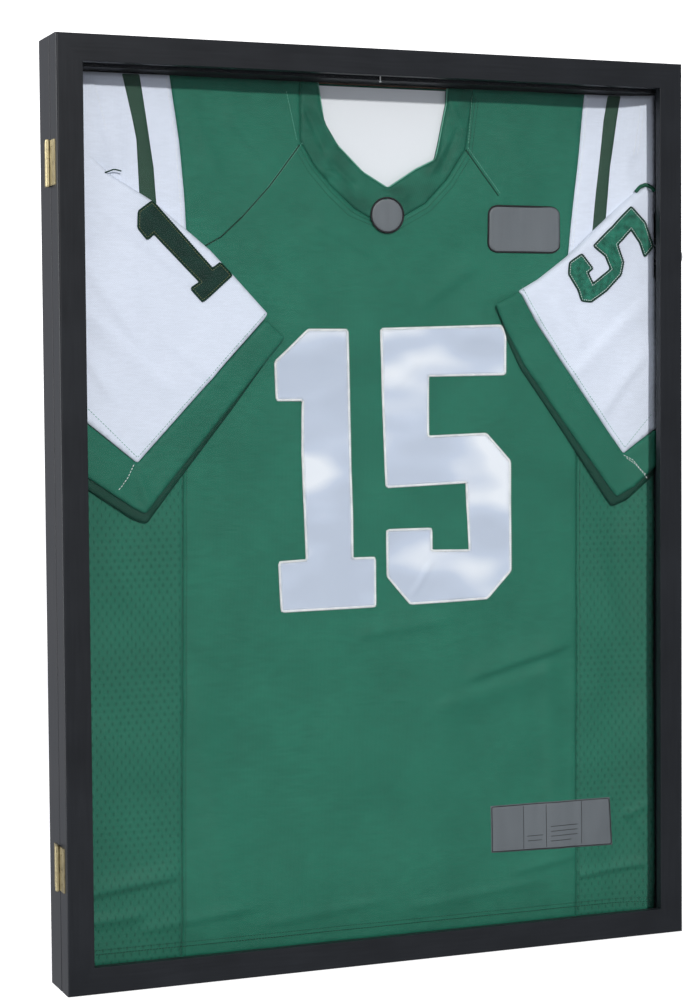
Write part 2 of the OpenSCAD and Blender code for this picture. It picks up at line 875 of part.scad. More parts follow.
module shirt_front_numbers() {
    color("#ccd2dc") place() for (digit = [digit_one, digit_five]) slab(digit, shirt_y - number_t, number_t);
}

module shirt_sleeve_numbers() {
    color("#174a36") place() for (digit = [sleeve_one, sleeve_five]) slab(digit, sleeve_y - number_t, number_t);
}

module collar_patch() {
    color("#9aa0a6") place() slab(collar_round, shirt_y - number_t, number_t);
}

module chest_patch() {
    color("#8b9197") place() slab(chest_plain, shirt_y - number_t, number_t);
}

module hem_tag() {
    color("#7d828a") place() slab(tag, shirt_y - number_t, number_t);
}

case_rail_top();
case_rail_bottom();
case_rail_left();
case_rail_right();
case_dowels();
back_panel();
back_panel_screws();
hanger_plate_left();
hanger_plate_right();
hanger_screws();
hinge_upper_case_leaf();
hinge_lower_case_leaf();
hinge_upper_pin();
hinge_lower_pin();
hinge_case_screws();
lock_body();
lock_nut();
closing_magnets();
door_bumpers();
door_rail_top();
door_rail_bottom();
door_stile_left();
door_stile_right();
door_corner_splines();
clear_panel();
panel_strip_top();
panel_strip_bottom();
panel_strip_left();
panel_strip_right();
panel_nails();
hinge_upper_door_leaf();
hinge_lower_door_leaf();
hinge_door_screws();
magnet_strikes();
lock_strike();
lock_strike_screws();
lock_plug();
lock_cam();
lock_cam_screw();
lock_key();
shirt_board();
shirt_torso();
shirt_side_left();
shirt_side_right();
shirt_collar();
shirt_shoulder_left();
shirt_shoulder_right();
shirt_sleeve_left();
shirt_sleeve_right();
shirt_cuff_left();
shirt_cuff_right();
shirt_front_numbers();
shirt_sleeve_numbers();
collar_patch();
chest_patch();
hem_tag();
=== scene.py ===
import math

import bpy
import numpy as np
from mathutils import Matrix, Vector, noise
from mathutils.geometry import delaunay_2d_cdt


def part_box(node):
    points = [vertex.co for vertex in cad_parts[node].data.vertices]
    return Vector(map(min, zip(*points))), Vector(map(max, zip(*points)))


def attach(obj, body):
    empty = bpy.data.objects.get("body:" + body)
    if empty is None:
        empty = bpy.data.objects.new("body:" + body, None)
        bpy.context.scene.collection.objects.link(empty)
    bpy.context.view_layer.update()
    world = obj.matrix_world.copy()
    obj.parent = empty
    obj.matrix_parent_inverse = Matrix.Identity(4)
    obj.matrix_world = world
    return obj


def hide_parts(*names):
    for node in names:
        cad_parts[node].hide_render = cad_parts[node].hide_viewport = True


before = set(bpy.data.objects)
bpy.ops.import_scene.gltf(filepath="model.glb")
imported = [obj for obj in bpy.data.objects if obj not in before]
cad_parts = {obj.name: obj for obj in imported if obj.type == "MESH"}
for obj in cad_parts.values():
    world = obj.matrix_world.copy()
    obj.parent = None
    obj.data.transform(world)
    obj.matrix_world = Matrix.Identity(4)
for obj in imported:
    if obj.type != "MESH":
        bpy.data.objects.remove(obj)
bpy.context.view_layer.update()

# Lengths below are millimetres, with x = 0 in the middle, y = 0 at the front face and z = 0 at the
# bottom edge; at() turns them into the frame's metres.
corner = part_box("door_rail_bottom")[0]


def at(x, y, z):
    return Vector((x / 1000, corner.y + y / 1000, corner.z + z / 1000))


def front_of(node):
    return (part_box(node)[0].y - corner.y) * 1000


def back_of(node):
    return (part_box(node)[1].y - corner.y) * 1000


BODY_Y = front_of("shirt_torso")
BODY_T = 6.4
SLEEVE_Y = front_of("shirt_sleeve_left")
SLEEVE_T = back_of("shirt_sleeve_left") - SLEEVE_Y
BEHIND_Y = back_of("shirt_board") + 0.3
NUMBER_T = 0.7


# ---------- outlines ----------

COLLAR = [(-72, 860.5), (-72, 803), (-58, 780), (-38, 758), (-16, 739), (17, 722), (59, 745),
          (84, 770), (105, 801), (113, 856), (113, 860.5)]
NECK = [(-53, 860.5), (-47, 822), (-33, 800), (-7, 775), (20, 760), (50, 779), (72, 789.5),
        (76, 805), (85, 846), (85.5, 860.5)]
TORSO = ([(-201, 14.5), (226, 14.5), (229, 560), (310.5, 560), (310.5, 640), (219, 692),
          (232, 802), (239, 860.5)] + COLLAR[::-1]
         + [(-204, 860.5), (-195, 800), (-188, 707), (-310.5, 640), (-310.5, 560), (-193, 560)])
SIDE_LEFT = [(-310.5, 14.5), (-201.3, 14.5), (-193.4, 559.5), (-310.5, 559.5)]
SIDE_RIGHT = [(226.3, 14.5), (312.3, 14.5), (312.3, 559.5), (229.3, 559.5)]
SHOULDER_LEFT = [(-310.5, 640.5), (-188.3, 708), (-190, 745), (-195.3, 800), (-204.3, 860.5),
                 (-310.5, 860.5)]
SHOULDER_RIGHT = [(310.5, 640.5), (310.5, 735), (312.6, 745), (312.6, 860.5), (239.3, 860.5),
        (232.3, 802), (226.3, 755),
                  (219.3, 692.5)]
STRIPE_LEFT = [(-251, 860), (-242, 819), (-238, 799), (-235, 744), (-218, 734), (-221, 773),
               (-225, 799), (-234, 860)]
STRIPE_RIGHT = [(265, 860), (260, 834), (251, 763), (246, 714), (261, 724), (267, 788),
                (277, 850), (279, 860)]
SLEEVE_LEFT = [(-310, 802), (-268, 767), (-220, 739), (-167, 696), (-110, 636), (-113, 631),
               (-242, 494), (-312, 550)]
CUFF_LEFT = [(-312, 548), (-242, 493), (-112, 630), (-92, 612), (-235, 445), (-246, 451),
             (-310, 494)]
SLEEVE_RIGHT = [(310.5, 763), (302, 768), (291, 761), (216, 695), (184, 672), (162, 660),
                (178, 632), (212, 584), (278, 494), (312, 520), (312, 668),
                (310.3, 676)]
CUFF_RIGHT = [(161, 659), (134, 646), (144, 625), (166, 585), (215, 521), (271, 449),
              (290, 459), (312, 480), (312, 518.5), (278, 493), (211, 583), (177, 631)]
INNER_LEFT = [(-93, 612), (-148, 541), (-233, 436), (-247, 441), (-312, 484), (-312, 510), (-240, 475),
              (-112, 626)]
INNER_RIGHT = [(138, 643), (147, 614), (162.5, 582), (211, 517), (267, 439.5), (284, 446), (312, 471),
               (312, 500), (276, 478), (175, 610), (152, 652)]
ONE = [(-66, 620), (-25, 620), (-23, 520), (-21, 395), (3, 395), (3, 347), (-96, 346),
       (-98, 394), (-69, 395), (-73, 500), (-72, 552), (-99, 552), (-100, 589)]
FIVE = [(11, 621), (142, 624.8), (146.5, 616), (146, 576), (62, 575), (61, 514), (125, 516), (151, 488),
        (152, 377), (125, 350), (41, 348), (17, 376), (16, 422), (64, 422), (64, 400),
        (106, 399), (103, 468), (16, 465)]
SLEEVE_ONE = [(-239, 731), (-225, 741), (-166, 678), (-158, 684), (-146, 672), (-176, 646),
              (-188, 659), (-179, 665), (-224, 710), (-231, 704), (-240, 715)]
SLEEVE_FIVE = [(286, 747), (301, 731), (309, 706), (300, 695), (295, 710), (286, 723),
               (271, 708), (278, 690), (275, 677), (259, 661), (241, 649), (230, 650),
               (226, 661), (215, 677), (216, 689), (230, 698), (243, 683), (237, 679),
               (243, 668), (263, 683), (257, 696), (243, 706)]
COLLAR_ROUND = [(18 + 17 * math.cos(a * math.pi / 24), 733 + 17 * math.sin(a * math.pi / 24))
                for a in range(48)]
CHEST_PLAIN = [(138, 699), (200, 699), (205, 700.5), (208.5, 704), (209, 708), (209, 736),
               (208.5, 740), (205, 743.5), (200, 745), (138, 745), (133, 743.5), (129.5, 740),
               (129, 736), (129, 708), (129.5, 704), (133, 700.5)]
TAG = [(128, 138), (265, 137), (268, 87), (129, 90)]
RAGLAN_LEFT = [(-73, 799), (-105, 758), (-133, 728), (-154, 709), (-172, 699)]
RAGLAN_RIGHT = [(105, 800), (124, 775), (140, 755)]


# ---------- mesh making ----------

def signed_area(points):
    p = np.array(points, float)
    q = np.roll(p, -1, 0)
    return 0.5 * float(np.sum(p[:, 0] * q[:, 1] - q[:, 0] * p[:, 1]))


def ccw(points):
    return list(points) if signed_area(points) > 0 else list(points)[::-1]


def rounded(points, r):
    """The outline with each corner cut back by up to r and bent round."""
    out, n = [], len(points)
    for i in range(n):
        a, b, c = (Vector(points[k % n]) for k in (i - 1, i, i + 1))
        u, v = (a - b), (c - b)
        k1, k2 = min(r, 0.45 * u.length), min(r, 0.45 * v.length)
        p, q = b + u.normalized() * k1, b + v.normalized() * k2
        if u.normalized().dot(v.normalized()) < -0.995 or r <= 0:
            out.append(b)
            continue
        for t in (0, 0.25, 0.5, 0.75, 1):
            out.append(p.lerp(b, t).lerp(b.lerp(q, t), t))
    return [(p.x, p.y) for p in out]


def resample(points, pitch, closed=True):
    out, n = [], len(points)
    for i in range(n if closed else n - 1):
        a, b = Vector(points[i]), Vector(points[(i + 1) % n])
        steps = max(1, round((b - a).length / pitch))
        out += [tuple(a.lerp(b, k / steps)) for k in range(steps)]
    if not closed:
        out.append(tuple(points[-1]))
    return out


def along(points, pitch):
    """Points at an even pitch along an open line."""
    p = np.array(points, float)
    s = np.concatenate([[0], np.cumsum(np.hypot(*np.diff(p, axis=0).T))])
    t = np.linspace(0, s[-1], max(2, int(round(s[-1] / pitch)) + 1))
    return np.stack([np.interp(t, s, p[:, k]) for k in range(p.shape[1])], 1)


def distance(pts, line, closed=False):
    """Distance of each point from a polyline."""
    a = np.array(line, float)
    b = np.roll(a, -1, 0)
    if not closed:
        a, b = a[:-1], b[:-1]
    best = np.full(len(pts), 1e9)
    for p, q in zip(a, b):
        d = q - p
        t = np.clip(((pts - p) @ d) / max(d @ d, 1e-9), 0, 1)
        best = np.minimum(best, np.hypot(*(pts - p - t[:, None] * d).T))
    return best


def within(pts, line):
    a = np.array(line, float)
    b = np.roll(a, -1, 0)
    hit = np.zeros(len(pts), bool)
    for p, q in zip(a, b):
        cross = (p[1] > pts[:, 1]) != (q[1] > pts[:, 1])
        with np.errstate(divide="ignore", invalid="ignore"):
            x = (q[0] - p[0]) * (pts[:, 1] - p[1]) / (q[1] - p[1]) + p[0]
        hit ^= cross & (pts[:, 0] < x)
    return hit


def fill(outline, pitch):
    """Points and triangles that fill an outline; the first points follow its edge."""
    loop = resample(ccw(outline), pitch)
    a = np.array(loop)
    xs = np.arange(a[:, 0].min(), a[:, 0].max(), pitch)
    zs = np.arange(a[:, 1].min(), a[:, 1].max(), pitch * 0.866)
    grid = np.array([(x + (0.5 * pitch if j % 2 else 0), z) for j, z in enumerate(zs) for x in xs])
    grid = grid[within(grid, a)]
    grid = grid[distance(grid, a, True) > 0.5 * pitch]
    pts = [Vector(p) for p in loop] + [Vector(p) for p in grid]
    verts, _, faces, made_of, _, _ = delaunay_2d_cdt(pts, [], [list(range(len(loop)))], 1, 1e-5)
    place = {k: i for i, ks in enumerate(made_of) for k in ks}
    return (np.array([tuple(v) for v in verts]), [list(f) for f in faces],
            [place[k] for k in range(len(loop))])


def shoulder_off(d, r):
    """How far a rounded edge of radius r falls back at distance d from it."""
    t = np.clip(1 - d / max(r, 1e-6), 0, 1)
    return r * (1 - np.sqrt(1 - t * t))


def rumple(pts, seed, parts):
    """Soft unevenness: parts lists (size, height)."""
    out = np.zeros(len(pts))
    for k, (size, height) in enumerate(parts):
        out += height * np.array([noise.noise((x / size + seed, z / size - seed, 7.3 * k + seed))
                                  for x, z in pts])
    return out


def fold(pts, a, b, width, height, lean=0.0):
    """A soft ridge from a to b; lean makes one side steeper."""
    a, b = np.array(a, float), np.array(b, float)
    d = b - a
    length = math.hypot(*d)
    u = d / length
    s = (pts - a) @ u
    t = (pts - a) @ np.array([-u[1], u[0]])
    w = width * np.where(t > 0, 1 + lean, 1 - lean)
    ends = np.clip(s / (0.25 * length) + 0.2, 0, 1) * np.clip((length - s) / (0.25 * length) + 0.2, 0, 1)
    return height * np.exp(-(t / w) ** 2) * ends * ends * (3 - 2 * ends)


def link(obj):
    bpy.context.scene.collection.objects.link(obj)
    return obj


def mesh_object(name, verts, faces, mat, smooth=True, sharp=()):
    me = bpy.data.meshes.new(name)
    me.from_pydata([tuple(v) for v in verts], [], faces)
    me.validate()
    me.polygons.foreach_set("use_smooth", [smooth] * len(me.polygons))
    if sharp:
        marks = set(sharp)
        for e in me.edges:
            e.use_edge_sharp = tuple(sorted(e.vertices)) in marks
    me.materials.append(mat)
    me.update()
    return link(bpy.data.objects.new(name, me))


def cloth_slab(name, outline, y, thick, mat, pitch=4.0, seam=0.8, free=(), free_r=3.0, height=None,
               bend=3.0):
    """A closed piece of cloth: a shaped front, a rim and a back. height(pts) lifts its front."""
    pts, tris, loop = fill(rounded(ccw(outline), bend), pitch)
    edge = [pts[i] for i in loop]
    off = shoulder_off(distance(pts, edge, True), seam)
    for line in free:
        off = np.maximum(off, shoulder_off(distance(pts, line), free_r))
    lift = height(pts) if height else np.zeros(len(pts))
    ys = y + np.minimum(off - lift, thick - 0.25)
    n = len(pts)
    verts = [at(p[0], v, p[1]) for p, v in zip(pts, ys)] + [at(p[0], y + thick, p[1]) for p in pts]
    faces = [f for f in tris] + [[i + n for i in reversed(f)] for f in tris]
    sharp = []
    for i, j in zip(loop, loop[1:] + loop[:1]):
        faces.append([i, i + n, j + n, j])
        sharp.append(tuple(sorted((i + n, j + n))))
    return mesh_object(name, verts, faces, mat, sharp=sharp)


def tubes(name, paths, mat, sides=6):
    """One mesh of round threads; each path is a list of (point, radius) in metres."""
    verts, faces = [], []
    for path in paths:
        base, n = len(verts), len(path)
        for i, (p, r) in enumerate(path):
            d = (path[min(i + 1, n - 1)][0] - path[max(i - 1, 0)][0]).normalized()
            side = d.cross(Vector((0, 1, 0)))
            side = side.normalized() if side.length > 1e-6 else Vector((1, 0, 0))
            up = side.cross(d)
            for k in range(sides):
                a = 2 * math.pi * k / sides
                verts.append(p + r * (math.cos(a) * side + math.sin(a) * up))
        for i in range(n - 1):
            for k in range(sides):
                k2 = (k + 1) % sides
                faces.append([base + i * sides + k, base + (i + 1) * sides + k,
                              base + (i + 1) * sides + k2, base + i * sides + k2])
        faces.append([base + k for k in range(sides)])
        faces.append([base + (n - 1) * sides + k for k in reversed(range(sides))])
    return mesh_object(name, verts, faces, mat)


def stitches(line, level, pitch=3.0, length=2.0, r=0.3):
    """Short raised stitches along a line; level(pts) gives the cloth's front there."""
    pts = along(line, pitch / 2)
    ys = level(pts)
    paths = []
    for i in range(0, len(pts) - 1, 2):
        a, b = pts[i], pts[i + 1]
        d = (b - a) / max(np.hypot(*(b - a)), 1e-6) * length / 2
        m = (a + b) / 2
        y = ys[i]
        paths.append([(at(m[0] - d[0], y + 0.15, m[1] - d[1]), r * 5e-4),
                      (at(m[0] - 0.6 * d[0], y - 0.1 * r, m[1] - 0.6 * d[1]), r / 1000),
                      (at(m[0] + 0.6 * d[0], y - 0.1 * r, m[1] + 0.6 * d[1]), r / 1000),
                      (at(m[0] + d[0], y + 0.15, m[1] + d[1]), r * 5e-4)])
    return paths


def welt(line, level, r=0.5, sink=0.2, pitch=4.0):
    """A thin raised thread or piping along a line."""
    pts = along(line, pitch)
    ys = level(pts)
    return [[(at(p[0], y + sink, p[1]), r / 1000) for p, y in zip(pts, ys)]]


def zigzag(outline, level, half=1.3, pitch=1.3, r=0.42):
    """A satin-stitched edge: one thread that goes to and fro across a closed outline."""
    loop = np.array(resample(ccw(outline), pitch))
    nxt, prv = np.roll(loop, -1, 0), np.roll(loop, 1, 0)
    d = nxt - prv
    d /= np.maximum(np.hypot(*d.T), 1e-6)[:, None]
    side = np.where(np.arange(len(loop)) % 2, 1, -1)[:, None] * half
    pts = loop + side * np.stack([-d[:, 1], d[:, 0]], 1)
    ys = level(pts)
    path = [(at(p[0], y - 0.1, p[1]), r / 1000) for p, y in zip(pts, ys)]
    return [path + path[:1]]


def inset(outline, d):
    """The outline moved inwards by d, for plain shapes."""
    p = np.array(ccw(outline), float)
    out = []
    for i in range(len(p)):
        a, b, c = p[i - 1], p[i], p[(i + 1) % len(p)]
        u, v = (b - a) / np.hypot(*(b - a)), (c - b) / np.hypot(*(c - b))
        n1, n2 = np.array([-u[1], u[0]]), np.array([-v[1], v[0]])
        m = n1 + n2
        out.append(tuple(b + d * m / max(0.35, 0.5 * (m @ m)) * 0.5))
    return out


# ---------- materials ----------

class Paint:
    """Small helper for node materials."""

    def __init__(self, name, color, rough, metallic=0.0, spec=0.5):
        self.mat = bpy.data.materials.new(name)
        self.mat.use_nodes = True
        self.tree = self.mat.node_tree
        self.shader = self.tree.nodes["Principled BSDF"]
        self.set("Base Color", (*color, 1))
        self.set("Roughness", rough)
        self.set("Metallic", metallic)
        self.set("Specular IOR Level", spec)
        self.mat.diffuse_color = (*color, 1)

    def set(self, socket, value):
        self.shader.inputs[socket].default_value = value

    def node(self, kind, **values):
        n = self.tree.nodes.new(kind)
        for k, v in values.items():
            setattr(n, k, v)
        return n

    def join(self, a, b):
        self.tree.links.new(a, b)

    def coords(self, angle=0.0, scale=(1, 1, 1)):
        tex = self.node("ShaderNodeTexCoord")
        m = self.node("ShaderNodeMapping")
        m.inputs["Rotation"].default_value = (0, math.radians(angle), 0)
        m.inputs["Scale"].default_value = scale
        self.join(tex.outputs["Object"], m.inputs["Vector"])
        return m.outputs[0]

    def noise(self, co, size, detail=3.0, rough=0.55):
        """size in millimetres"""
        n = self.node("ShaderNodeTexNoise")
        n.inputs["Scale"].default_value = 1000 / size
        n.inputs["Detail"].default_value = detail
        n.inputs["Roughness"].default_value = rough
        self.join(co, n.inputs["Vector"])
        return n.outputs[0]

    def wave(self, co, pitch, direction="X", distort=0.0, profile="SIN"):
        """pitch in millimetres"""
        n = self.node("ShaderNodeTexWave", bands_direction=direction, wave_profile=profile)
        n.inputs["Scale"].default_value = 314.16 / pitch
        n.inputs["Distortion"].default_value = distort
        n.inputs["Detail"].default_value = 1
        self.join(co, n.inputs["Vector"])
        return n.outputs["Fac"]

    def math(self, op, a, b=0.0, c=0.0):
        n = self.node("ShaderNodeMath", operation=op)
        for i, v in enumerate((a, b, c)):
            if isinstance(v, (int, float)):
                n.inputs[i].default_value = v
            else:
                self.join(v, n.inputs[i])
        return n.outputs[0]

    def span(self, value, low, high, to_low=0.0, to_high=1.0):
        n = self.node("ShaderNodeMapRange")
        for k, v in zip(("From Min", "From Max", "To Min", "To Max"), (low, high, to_low, to_high)):
            n.inputs[k].default_value = v
        self.join(value, n.inputs["Value"])
        return n.outputs[0]

    def ramp(self, value, *stops):
        n = self.node("ShaderNodeValToRGB")
        e = n.color_ramp.elements
        e[0].position, e[0].color = stops[0][0], (*stops[0][1], 1)
        e[1].position, e[1].color = stops[-1][0], (*stops[-1][1], 1)
        for pos, col in stops[1:-1]:
            x = e.new(pos)
            x.color = (*col, 1)
        self.join(value, n.inputs[0])
        return n.outputs[0]

    def shade(self, color, value):
        """color times a grey value"""
        n = self.node("ShaderNodeMix", data_type="RGBA", blend_type="MULTIPLY")
        n.inputs[0].default_value = 1
        self.join(color, n.inputs[6])
        self.join(value, n.inputs[7])
        return n.outputs[2]

    def mix(self, fac, a, b):
        n = self.node("ShaderNodeMix", data_type="RGBA")
        self.join(fac, n.inputs[0])
        for v, i in ((a, 6), (b, 7)):
            if isinstance(v, tuple):
                n.inputs[i].default_value = (*v, 1)
            else:
                self.join(v, n.inputs[i])
        return n.outputs[2]

    def bump(self, height, strength, dist):
        """dist in millimetres"""
        n = self.node("ShaderNodeBump")
        n.inputs["Strength"].default_value = strength
        n.inputs["Distance"].default_value = dist / 1000
        self.join(height, n.inputs["Height"])
        self.join(n.outputs[0], self.shader.inputs["Normal"])

    def color(self, out):
        self.join(out, self.shader.inputs["Base Color"])

    def rough(self, value, low, high):
        self.join(self.span(value, 0.3, 0.7, low, high), self.shader.inputs["Roughness"])


def tint(c, k):
    return tuple(min(1.0, x * k) for x in c)


def knit(name, base, pitch=1.4, rough=0.6, sheen=0.06, angle=0.0, mottle=0.08, bump=0.35, spec=0.18,
         broad=60):
    """Smooth knitted cloth: fine columns and rows of loops with a slow change of tone."""
    p = Paint(name, base, rough, spec=spec)
    co = p.coords(angle)
    wale = p.wave(co, pitch, "X", 0.6)
    course = p.wave(co, pitch * 0.8, "Z", 0.6)
    loops = p.math("MULTIPLY", wale, course)
    cloud = p.noise(co, broad, 4)
    tone = p.ramp(cloud, (0.3, tint(base, 1 - mottle)), (0.7, tint(base, 1 + mottle)))
    streaks = p.noise(p.coords(angle, (0.3, 1, 1.6)), 3.2, 2)
    grain = min(0.08, 0.8 * mottle)
    tone = p.shade(tone, p.span(streaks, 0.35, 0.65, 1 - grain, 1 + grain))
    p.color(p.shade(tone, p.span(loops, 0, 1, 0.90, 1.05)))
    p.rough(p.noise(co, 18, 3), rough - 0.06, rough + 0.06)
    p.set("Sheen Weight", sheen)
    p.set("Sheen Roughness", 0.5)
    p.set("Sheen Tint", (*tint(base, 3.0), 1))
    p.bump(p.math("MULTIPLY_ADD", p.noise(co, 9, 3), 0.8, loops), bump, 0.25)
    return p.mat


def holed_knit(name, base):
    """Knit with faint upright eyelets in a diamond grid."""
    p = Paint(name, base, 0.6, spec=0.18)
    co = p.coords()
    sep = p.node("ShaderNodeSeparateXYZ")
    p.join(co, sep.inputs[0])
    u = p.math("DIVIDE", sep.outputs["X"], 0.0080)
    w = p.math("DIVIDE", sep.outputs["Z"], 0.0062)
    row = p.math("FLOOR", w)
    u = p.math("FRACT", p.math("ADD", u, p.math("MULTIPLY", row, 0.5)))
    w = p.math("FRACT", w)
    a = p.span(p.math("ABSOLUTE", p.math("SUBTRACT", u, 0.5)), 0.05, 0.13, 1, 0)
    b = p.span(p.math("ABSOLUTE", p.math("SUBTRACT", w, 0.5)), 0.22, 0.36, 1, 0)
    dash = p.math("MULTIPLY", a, b)
    lines = p.wave(co, 6.5, "Z", 0.8)
    fine = p.math("MULTIPLY", p.wave(co, 1.3, "X", 0.5), p.wave(co, 1.1, "Z", 0.5))
    tone = p.ramp(p.noise(co, 60, 4), (0.3, tint(base, 0.93)), (0.7, tint(base, 1.07)))
    tone = p.shade(tone, p.span(fine, 0, 1, 0.92, 1.04))
    tone = p.shade(tone, p.span(lines, 0, 1, 0.97, 1.02))
    p.color(p.shade(tone, p.span(dash, 0, 1, 1.0, 0.66)))
    p.set("Sheen Weight", 0.06)
    p.set("Sheen Roughness", 0.5)
    p.rough(p.noise(co, 18, 3), 0.53, 0.67)
    p.bump(p.math("SUBTRACT", p.math("MULTIPLY", fine, 0.5), dash), 0.35, 0.3)
    return p.mat


def twill(name, base, rough=0.42, angle=35, painted_band_strength=0.12, band=14, spec=0.5):
    """Shiny cut cloth with diagonal ribs and soft painted bands of highlight and shade."""
    p = Paint(name, base, rough, spec=spec)
    co = p.coords(angle)
    ribs = p.wave(co, 1.1, "X", 0.3)
    painted_light_bands = p.noise(p.coords(angle, (1, 1, 0.15)), band, 3)
    # painted highlight and shade: the band noise lightens and darkens the base colour
    tone = p.ramp(painted_light_bands, (0.32, tint(base, 1 - painted_band_strength)), (0.68, tint(base, 1 + painted_band_strength)))
    p.color(p.shade(tone, p.span(ribs, 0, 1, 0.90, 1.04)))
    p.rough(p.noise(co, 12, 3), rough - 0.08, rough + 0.08)
    p.bump(p.math("MULTIPLY_ADD", painted_light_bands, 1.2, ribs), 0.3, 0.2)
    return p.mat


def satin(name, low, high):
    """Smooth silver cloth with broad soft bands of painted highlight across it."""
    p = Paint(name, low, 0.38, spec=0.5)
    co = p.coords(14, (0.45, 1, 1))
    painted_light_bands = p.noise(co, 46, 1.5, 0.4)
    # painted highlight: the band noise runs the colour from the base silver up to the bright highlight
    # colour
    tone = p.ramp(painted_light_bands, (0.40, low), (0.50, tint(low, 1.10)), (0.64, high))
    ribs = p.wave(p.coords(35), 0.9, "X", 0.3)
    p.color(p.shade(tone, p.span(ribs, 0, 1, 0.95, 1.02)))
    p.rough(p.noise(co, 12, 3), 0.30, 0.46)
    p.bump(p.math("MULTIPLY_ADD", p.noise(p.coords(), 22, 2), 3.0, p.math("MULTIPLY", ribs, 0.4)), 0.5,
           0.5)
    return p.mat


def thread(name, base):
    p = Paint(name, base, 0.55, spec=0.15)
    co = p.coords(40)
    ply = p.wave(co, 0.5, "X", 0.5)
    tone = p.ramp(p.noise(co, 8, 3), (0.3, tint(base, 0.85)), (0.7, tint(base, 1.08)))
    p.color(p.shade(tone, p.span(ply, 0, 1, 0.82, 1.05)))
    p.bump(ply, 0.3, 0.1)
    return p.mat


def black_paint(name, stretch):
    """Satin black paint over wood: faint grain, brush marks and rubbed spots."""
    base = (0.0095, 0.0112, 0.0142)
    p = Paint(name, base, 0.36, spec=0.22)
    grain = p.noise(p.coords(0, stretch), 2.2, 5, 0.6)
    cloud = p.noise(p.coords(), 70, 4)
    tone = p.ramp(cloud, (0.3, tint(base, 0.85)), (0.7, tint(base, 1.18)))
    p.color(p.shade(tone, p.span(grain, 0.3, 0.7, 0.9, 1.12)))
    p.rough(p.math("MULTIPLY_ADD", cloud, 0.5, p.math("MULTIPLY", grain, 0.5)), 0.33, 0.44)
    p.bump(grain, 0.18, 0.12)
    return p.mat


def metal(name, base, rough, stretch=(1, 1, 0.1), bump=0.15):
    p = Paint(name, base, rough, metallic=1.0)
    brush = p.noise(p.coords(0, stretch), 0.8, 3)
    cloud = p.noise(p.coords(), 9, 4)
    tone = p.ramp(cloud, (0.3, tint(base, 0.82)), (0.7, tint(base, 1.08)))
    p.color(p.shade(tone, p.span(brush, 0.3, 0.7, 0.92, 1.05)))
    p.rough(cloud, rough - 0.07, rough + 0.1)
    p.bump(brush, bump, 0.08)
    return p.mat


def fibre(name, base, size, rough, amount=0.2, bump=0.4, stretch=(1, 1, 1)):
    p = Paint(name, base, rough)
    co = p.coords(0, stretch)
    n = p.noise(co, size, 6, 0.65)
    p.color(p.ramp(n, (0.3, tint(base, 1 - amount)), (0.7, tint(base, 1 + amount))))
    p.rough(p.noise(co, size * 4, 3), rough - 0.06, rough + 0.06)
    p.bump(n, bump, 0.2)
    return p.mat


def clear(name):
    """Clear acrylic: lets light through and keeps a weak gloss."""
    p = Paint(name, (0.95, 0.97, 0.98), 0.05)
    t = p.tree
    out = t.nodes["Material Output"]
    see = p.node("ShaderNodeBsdfTransparent")
    see.inputs[0].default_value = (0.985, 0.99, 0.99, 1)
    gloss = p.node("ShaderNodeBsdfGlossy")
    gloss.inputs["Color"].default_value = (1, 1, 1, 1)
    p.join(p.span(p.noise(p.coords(), 40, 4), 0.3, 0.7, 0.02, 0.09), gloss.inputs["Roughness"])
    fres = p.node("ShaderNodeFresnel")
    fres.inputs[0].default_value = 1.3
    mix = p.node("ShaderNodeMixShader")
    p.join(p.math("MULTIPLY", fres.outputs[0], 0.3), mix.inputs[0])
    p.join(see.outputs[0], mix.inputs[1])
    p.join(gloss.outputs[0], mix.inputs[2])
    p.join(mix.outputs[0], out.inputs["Surface"])
    p.mat.diffuse_color = (0.9, 0.95, 1, 0.2)
    return p.mat


